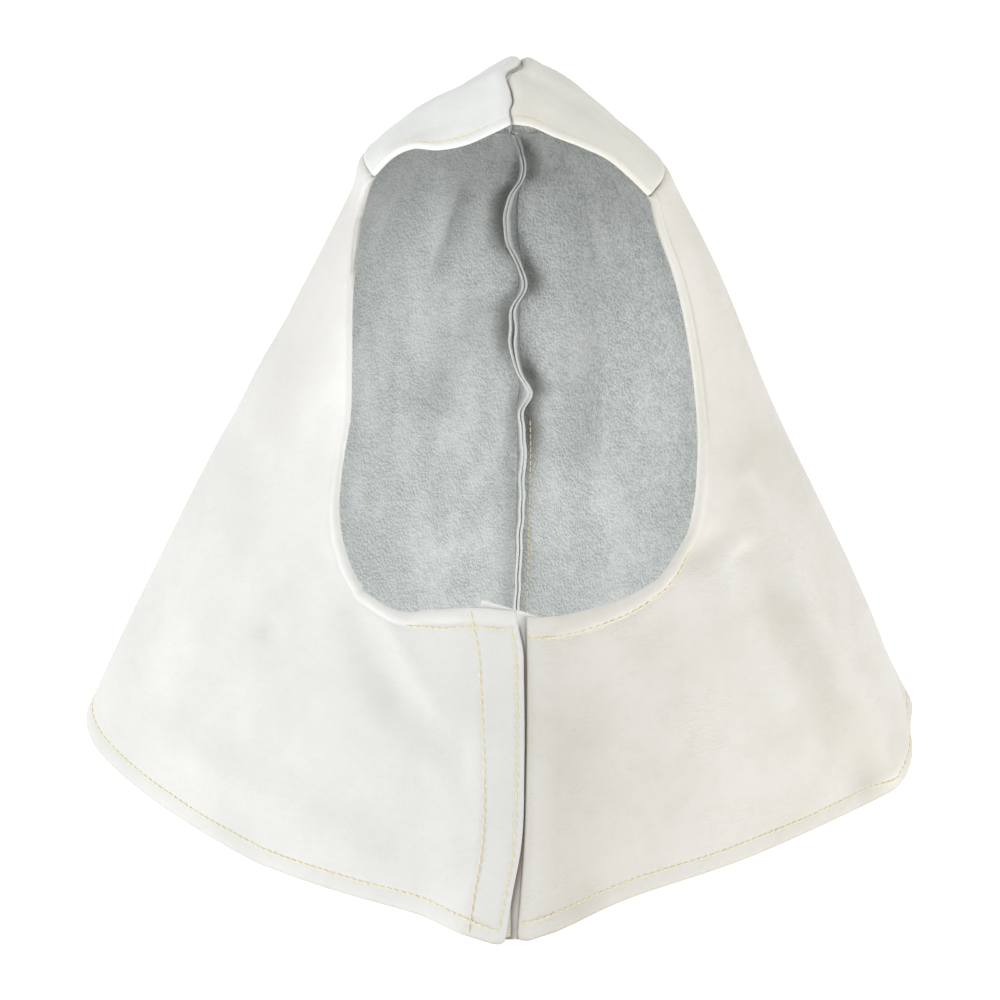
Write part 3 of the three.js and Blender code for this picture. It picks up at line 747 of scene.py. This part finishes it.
CROWN_BACK_TURN = 1.985
FACE_STITCH = 0.0076
MIDDLE_SEAM = sizes(
    EDGE,
    (0, -2, -3.5), (0.5, -1.3, -2.9), (1.5, -0.5, -2.1), (3, 0.3, -1.4), (5.5, 0.7, -1), (9, 0.4, -1.2),
    (14, 0, -1.5),
)


def steps_along(points, axis):
    """Distance run along a grid of points from its first row or column."""
    run = np.linalg.norm(np.diff(points, axis=axis), axis=-1).cumsum(axis=axis)
    return np.insert(run, 0, 0, axis=axis)


def crown_panel(side, grain):
    """Roof from the middle seam, part 0, to the side seam, part 1, and from front to back by share:
    straight between the seams, swelled, bowed back at the front edge and dipped at the middle."""
    name = HALF[side]
    brow = seam_height(side, BROW_TURN)
    start = float(turn_at(side, along(CHEEK, name, brow), brow))
    share = np.concatenate([np.linspace(0, 0.07, 22), np.linspace(0.07, 1, 86)[1:]])[:, None]
    part = np.concatenate([np.linspace(0, 1, 16)[:-1]**1.4 * 0.17, np.linspace(0.17, 0.85, 48)[:-1],
                           1 - 0.15 * np.linspace(1, 0, 14)**1.4])[None, :]
    turn = mix(start, CROWN_BACK_TURN, share)
    seam = hood_point(side, turn, seam_height(side, turn) + seam_gap(turn))
    apart = mix(0.0003, 0.00005, ease(share, 0, 0.06))
    ridge = np.stack([CLOSURE_X + along(RIDGE_SWAY, "sway", share) + side * apart,
                      along(RIDGE, "depth", share), along(RIDGE, "height", share)], -1)
    roof = mix(ridge, seam, part[..., None])
    front = 1 - ease(share, 0, 0.3)
    roof[..., 1] += front * (seam[0, 0, 1] - RIDGE["depth"][0]) * (part**2 - part)
    swell = CROWN_SWELL[side] * 4 * part * (1 - part)
    roof[..., 2] += mix(swell, along(CROWN_FRONT, name, part), front)
    dip = SEAM_DIP * ease(share, 0, 0.2) * (1 - ease(share))
    roof[..., 2] -= dip * np.maximum(0, 1 - part / SEAM_DIP_WIDE)**2
    if side == RIGHT:
        roof[..., 2] -= RIGHT_LIP * bell(share - RIGHT_LIP_AT, 0.12) * bell(part, 0.25)

    forward, sideways = np.gradient(roof, axis=0), np.gradient(roof, axis=1)
    normal = -side * np.cross(forward, sideways)
    to_front, to_ridge = steps_along(roof, 0), steps_along(roof, 1)
    normal[..., 0] *= ease(to_ridge, 0, 0.006)
    normal /= np.linalg.norm(normal, axis=-1)[..., None]
    to_seam = to_ridge[:, -1:] - to_ridge
    soft = 0.0009 * ripple(roof, 0.06, 25 + side) + 0.0004 * ripple(roof, 0.026, 35 + side)
    soft *= ease(to_front, 0, 0.02) * ease(to_ridge, 0, 0.015) * ease(to_seam, 0, 0.02)
    narrow = ease(to_ridge[:, -1:], 0, 0.05)
    to_bead = to_front / CROWN_BEAD_WIDE
    hem_end = ease(to_front, 0.008, 0.006)
    rolled = {}
    for face, thick in (("grain", 0), ("flesh", HIDE_THICK)):
        middle = profile(MIDDLE_SEAM, face, to_ridge) + thick
        beside = profile(SEAM_EDGE, face, to_seam) + thick
        rolled[face] = mix(np.minimum(middle, beside), middle + beside, narrow)
    bead = profile(FACE_HEM, "grain", to_bead)
    grain_out = soft + bead * np.where(bead > 0, CROWN_BEAD, 1) + mix(0.6, 1, hem_end) * rolled["grain"]
    flesh_out = soft + profile(FACE_HEM, "flesh", to_bead) + hem_end * rolled["flesh"]
    flesh_out = np.minimum(flesh_out, grain_out - THINNEST)
    outer, inner = (roof + normal * out[..., None] for out in (grain_out, flesh_out))
    cells = grid_cells(np.arange(to_front.size).reshape(to_front.shape), side == LEFT)
    points, faces = shell(outer, inner, cells)
    finish = panel_finish(to_bead / TURNED_STRIP, CROWN_CUT / TURNED_STRIP, cells, faces)
    sewn = np.flatnonzero((part[0] > CROWN_ROW[side][0]) & (part[0] < CROWN_ROW[side][1]))
    row = np.argmin(np.abs(to_bead - FACE_STITCH), axis=0)[sewn]
    seam_shade = 0.4 * bell(to_seam, 0.0008) * mix(0.4, 1, ease(to_front, 0.006, 0.012))
    shade = np.concatenate([(seam_shade + 0.7 * bell(to_ridge, 0.0006)).ravel(), np.zeros(to_front.size)])
    piece = make_piece(f"crown_panel_{name}", points, faces, [grain, suede, cut_edge], finish, shade)
    return piece, (outer[row, sewn], normal[row, sewn])


# The right crown hide is a darker, warmer copy of the left one: painted shade of the weaker light on the
# right.
crown_left = hide_material("crown_hide_left", (242, 244, 242), (237, 239, 236), (214, 213, 206), 0.06)
crown_right_painted_shade = hide_material("crown_hide_right_painted_shade", (237, 236, 228), (231, 229, 218), (206, 200, 186), 0.1)
crown_line = {}
for side, grain in ((LEFT, crown_left), (RIGHT, crown_right_painted_shade)):
    panel, crown_line[side] = crown_panel(side, grain)
    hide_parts(f"crown_{HALF[side]}")

# Underlap: a white hide strip behind the front closure, sewn to the right panel.
# Its slanting top shows above the collar.
UNDERLAP = dict(out=-0.00202, thick=0.0017, x=(-0.0155, 0.019), low=0.0006, high=(0.1578, 0.1472),
                bow=0.001, corner=0.0016, lean=0.0015)
# A lighter copy of the white hide for the strip: painted light, as it sits in shade just behind the collar.
white_under_painted_light = hide_material("white_hide_under_painted_light", (253, 253, 250), (249, 249, 245), (226, 224, 216), 0.06)


def closure_strip(rows, columns, scallop, rib, out, thick, x, low, high, bow, corner, lean):
    """Strip that follows the front between two X places, with rounded edges, a slanting top, and for
    a woven one a scalloped end and cross ribs."""
    left, right = x
    across = mix(left, right, (1 - np.cos(np.linspace(0, np.pi, columns))) / 2)[None, :]
    up = (1 - np.cos(np.linspace(0, np.pi, rows)))[:, None] / 2
    share = (across - left) / (right - left)
    slant = mix(*high, share) + bow * 4 * share * (1 - share)
    to_corner = np.clip((across - left) / corner, 0, 1)
    slant -= corner * (1 - np.sqrt(1 - (1 - to_corner)**2))
    low = low + scallop * np.abs(np.sin(np.pi * across / 0.0016))
    height = mix(low, slant, up)
    x = np.broadcast_to(across, height.shape)
    edge = np.minimum(np.minimum(x - left, right - x), np.minimum(height - low, slant - height))
    round_off = thick / 4 * (1 - np.sqrt(np.clip(edge / (thick / 2), 0.02, 1)))
    out = out + lean * ease(height, 0.136, 0.014) * (1 - ease(x, 0.001, 0.006))
    ribs = rib * np.sin(2 * np.pi * height / 0.0012)
    outer = wall_point(x, height, out - round_off + ribs)
    inner = wall_point(x, height, out - thick + round_off)
    return shell(outer, inner, grid_cells(np.arange(height.size).reshape(height.shape), False))


points, faces = closure_strip(60, 200, 0, 0, **UNDERLAP)
x, z = points[:, 0] - CLOSURE_X, points[:, 2]
# Painted shadow in the closure gap: brown beside the flap's edge, wider lower down, and a thin line along the
# right panel's edge.
ahead = np.maximum(0, x - np.maximum(along(FRONT_EDGE, "left", z), -0.0002))
behind = np.maximum(0, along(FRONT_EDGE, "right", z) - x)
near_top = ease(z, 0.128, 0.014)
painted_shade = np.maximum(bell(ahead, mix(0.0022, 0.0011, near_top)), bell(behind, 0.0005))
painted_shade *= 1 - ease(z, 0.143, 0.004)
underlap = make_piece("underlap_strip", points, faces, [white_under_painted_light], None, 0.75 * painted_shade)
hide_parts("underlap")

# Closure tapes: a hook tape on the flap and a loop tape under it, both woven cream nylon.
# They are sewn along the front edges, and their cut ends show at the hem.
TAPE = dict(bow=0, corner=0.0002, lean=0)
HOOK_TAPE = dict(TAPE, out=0.0005, thick=0.0008, x=(-0.016, 0), low=0.003, high=(0.132, 0.132))
LOOP_TAPE = dict(TAPE, out=-0.00072, thick=0.0009, x=(-0.016, -0.0002), low=0.002, high=(0.134, 0.134))
tape, tape_shader, tape_coords = new_material(
    "cream_tape", 0.85, Specular_IOR_Level=0.2, Sheen_Weight=0.2)
weave_links = {"Vector": tape_coords, "Scale": 260, "Distortion": 1.2, "Detail": 2, "Detail Scale": 3}
weave = add(tape.node_tree, "ShaderNodeTexWave", weave_links, bands_direction="Z").outputs["Fac"]
put_on(tape_shader, blend_colours(weave, (228, 221, 205), (244, 240, 230)), weave, 0.5, 0.0003)
for name, layer in (("hook_tape", HOOK_TAPE), ("loop_tape", LOOP_TAPE)):
    strip = make_piece(name, *closure_strip(260, 42, 0.0006, 0.00005, **layer), [tape])
    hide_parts(name.replace("tape", "strip"))

# Stitching: pale yellow cotton, lock-stitched through the turned edges, the flap and the back seam.
# Each stitch bows up from the hide and dives into its two needle holes.
STITCH_PITCH, FLAP_PITCH, STITCH_GAP, THREAD_WIDE = 0.0044, 0.0051, 0.0006, 0.00085
thread, thread_shader, thread_coords = new_material(
    "yellow_thread", 0.7, Specular_IOR_Level=0.25, Sheen_Weight=0.3)
twist = noise(thread_coords, 1600)
strands = ramp(twist, 0.3, 0.7)
yellow = blend_colours(strands, (242, 226, 166), (254, 247, 212))
put_on(thread_shader, yellow, twist, 0.4, 0.0002)
# Darker tan for each stitch's end rings: painted shade where the thread dives into its needle holes.
needle_hole_painted_shade = new_material(
    "needle_hole_painted_shade", 0.9, Specular_IOR_Level=0.1, Base_Color=finish_colour(168, 142, 96))[0]
RING_SIDES, RING_STATIONS = 6, (-0.98, -0.88, -0.5, 0, 0.5, 0.88, 0.98)


def stitches(name, line, outward, pitch=STITCH_PITCH):
    """Row of small spindles along a line: each spans most of a pitch, bows out from the hide in its
    middle, and its ends sink by about half the thread's width."""
    run = np.insert(np.linalg.norm(np.diff(line, axis=0), axis=1).cumsum(), 0, 0)
    places = np.arange(pitch / 2, run[-1], pitch)

    def at(where, values):
        """Values at distances along the line."""
        return np.stack([np.interp(where, run, column) for column in values.T], -1)

    middle, normal = at(places, line), at(places, outward)
    way = at(np.minimum(places + 0.001, run[-1]), line) - at(np.maximum(places - 0.001, 0), line)
    way /= np.linalg.norm(way, axis=1)[:, None]
    normal -= (normal * way).sum(1)[:, None] * way
    normal /= np.linalg.norm(normal, axis=1)[:, None]
    beside = np.cross(way, normal)
    station = np.array(RING_STATIONS)[:, None]
    angle = np.linspace(0, 2 * np.pi, RING_SIDES + 1)[None, :-1]
    radius = THREAD_WIDE / 2 * (1 - station**6)
    rise = THREAD_WIDE * (0.35 - 0.85 * station**4) + radius * np.cos(angle)
    run_out, over = np.broadcast_to((pitch - STITCH_GAP) / 2 * station, rise.shape), radius * np.sin(angle)
    body = (middle[:, None, None] + run_out[..., None] * way[:, None, None]
            + rise[..., None] * normal[:, None, None] + over[..., None] * beside[:, None, None])
    ring = np.arange(len(places) * len(station) * RING_SIDES).reshape(len(places), len(station), RING_SIDES)
    turned = np.roll(ring, -1, axis=2)
    quads = np.stack([ring[:, :-1], ring[:, 1:], turned[:, 1:], turned[:, :-1]], -1).reshape(-1, 4)
    at_end = np.zeros((len(places), len(station) - 1, RING_SIDES))
    at_end[:, [0, -1]] = 1
    finish = np.concatenate([at_end.ravel(), np.ones(2 * len(places))])
    faces = [quads, ring[:, 0], ring[:, -1, ::-1]]
    make_piece(name, body.reshape(-1, 3), faces, [thread, needle_hole_painted_shade], finish)


def face_line(side, reach_from, reach_to, height_to):
    """X and height of a line inside the turned edge of the face opening: the edge's own run from the
    collar up the cheek, moved across by the width of the turning and cut off at a reach."""
    name = HALF[side]
    reach = np.linspace(reach_from, FACE_CORNER, 60)
    height = np.linspace(along(COLLAR, name, FACE_CORNER), height_to, 30)[1:]
    x = np.concatenate([reach, along(CHEEK, name, height)])
    z = np.concatenate([along(COLLAR, name, reach), height])
    near, far, width = {LEFT: (1.3, 0.8, 0.028), RIGHT: (1.4, 0.9, 0.05)}[side]
    turned = FACE_STITCH * mix(near, far, ease(x, 0.037, width))
    run_x, run_z = np.gradient(x), np.gradient(z) * SLANT
    long = np.hypot(run_x, run_z)
    kept = x < reach_to
    return side * (x + turned * run_z / long)[kept], (z - turned * run_x / long / SLANT)[kept]


def on_wall(x, height, out=0.0, turns=FRONT_TURNS, facing=1):
    """Line of points on the front or back wall and the way out from it."""
    line = wall_point(x, height, out, turns)
    return line, facing * (wall_point(x, height, out + 0.001, turns) - line)


def on_hide(side, line, outward):
    """Line carried out to a side panel's grain face by the relief of its nearest points, each
    weighted by one over the fourth power of its distance."""
    flat, relief = panel_relief[side]
    square = (line**2).sum(1)[:, None] + (flat**2).sum(1) - 2 * line @ flat.T
    weight = 1 / (np.maximum(square, 0) + 1e-7)**2
    return line + weight @ relief / weight.sum(1)[:, None], outward


HEM_ROW, HEM_FROM, HEM_DIP = 0.0091, {LEFT: -0.0045, RIGHT: 0.001}, {LEFT: 0.0025, RIGHT: 0}
COLLAR_ROW = {LEFT: (0.001, 0.056, 0.1532), RIGHT: (0.009, 0.2, 0.172)}
for side in (LEFT, RIGHT):
    name = HALF[side]
    hem_x = np.linspace(along(FRONT_EDGE, name, 0.009) + HEM_FROM[side], side * 0.1, 60)
    hem_up = HEM_ROW - HEM_DIP[side] * bell(hem_x, 0.02)
    hem_turn = np.linspace(float(turn_at(side, 0.101, 0.009)), 1.96, 400)
    rise = hem_height(side, hem_turn) + HEM_ROW
    wrap_line = hood_point(side, hem_turn, rise)
    wrap_out = hood_point(side, hem_turn, rise, 0.001) - wrap_line
    hem_line = np.concatenate([on_wall(hem_x, hem_up), (wrap_line, wrap_out)], axis=1)
    stitches(f"hem_stitching_{name}", *on_hide(side, *hem_line))
    collar_line = on_wall(*face_line(side, *COLLAR_ROW[side]))
    stitches(f"collar_stitching_{name}", *on_hide(side, *collar_line))
    stitches(f"crown_stitching_{name}", *crown_line[side])

FLAP_LINES = sizes(
    "height edge inner", (0, 4.5, 19), (30, 4.5, 19.4), (90, 3.8, 20.3), (120, 3.8, 22), (155, 3.8, 23),
)
for name, low, high in (("edge", 0.0075, 0.147), ("inner", 0.002, 0.1535)):
    flap_height = np.linspace(low, high, 90)
    flap_x = along(FRONT_EDGE, "left", flap_height) - along(FLAP_LINES, name, flap_height)
    flap_line = on_wall(flap_x, flap_height)
    stitches(f"flap_stitching_{name}", *on_hide(LEFT, *flap_line), FLAP_PITCH)
back_height = np.linspace(0.012, 0.165, 90)
back_x = seam_foot(back_height) + 0.0062
stitches("back_seam_stitching", *on_wall(back_x, back_height, -0.0019, BACK_TURNS, -1))

# Studio: a plain white floor and surround, and soft lights from left, right and above.
# A small light inside the hood and a spot on the face opening light the suede.
FLOOR_HALF = 30
floor_mesh = bpy.data.meshes.new("floor")
floor_corners = [(x * FLOOR_HALF, y * FLOOR_HALF, 0) for x, y in ((-1, -1), (1, -1), (1, 1), (-1, 1))]
floor_mesh.from_pydata(floor_corners, [], [(0, 1, 2, 3)])
floor_mesh.materials.append(new_material(
    "white_floor", 0.9, Specular_IOR_Level=0, Base_Color=(0.9, 0.9, 0.9, 1), Emission_Color=(1, 1, 1, 1),
    Emission_Strength=0.6)[0])
put_in_scene("floor", floor_mesh)

world = bpy.data.worlds.new("studio")
bpy.context.scene.world = world
world.use_nodes = True
background = world.node_tree.nodes["Background"]
background.inputs["Color"].default_value = (1, 1, 1, 1)
seen = add(world.node_tree, "ShaderNodeLightPath").outputs["Is Camera Ray"]
surround = add(world.node_tree, "ShaderNodeMix", {"Factor": seen, "A": 0.36, "B": 1})
world.node_tree.links.new(surround.outputs["Result"], background.inputs["Strength"])


def soft_light(name, place, target, wide, watts):
    """Square soft light at a place, turned to face a target."""
    lamp = bpy.data.lights.new(name, "AREA")
    lamp.size, lamp.energy = wide, watts
    light = put_in_scene(name, lamp)
    way = np.subtract(target, place)
    tilt = math.acos(-way[2] / np.linalg.norm(way))
    light.location = place
    light.rotation_euler = (tilt, 0, math.atan2(way[1], way[0]) - math.pi / 2)
    light.visible_camera = False


soft_light("left_light", (-2.5, -0.75, 1.15), (0, 0, 0.2), 1.2, 25)
soft_light("right_light", (2.5, -0.75, 1.15), (0, 0, 0.2), 1.2, 19.5)
soft_light("top_light", (0, 0.3, 3), (0, 0, 0.3), 1.6, 22)
soft_light("inner_light", (-0.03, -0.04, 0.04), (0.1, 0.14, 0.26), 0.05, 0.135)

spot = bpy.data.lights.new("face_light", "SPOT")
spot.energy, spot.spot_size, spot.spot_blend, spot.shadow_soft_size = 40, math.radians(9), 1, 0.06
face_light = put_in_scene("face_light", spot)
face_light.location = (0, -1.8, 1.05)
face_light.rotation_euler = (math.radians(90) - math.atan2(0.83, 1.9), 0, 0)

camera_data = bpy.data.cameras.new("photo_camera")
camera_data.lens, camera_data.sensor_width = 100, 36
camera = put_in_scene("photo_camera", camera_data)
camera.location = (-0.0024, -1.445, 0.703)
camera.rotation_euler = (math.radians(70), 0, 0)
bpy.context.scene.camera = camera
bpy.context.scene.view_settings.view_transform = "Standard"

bpy.context.view_layer.update()
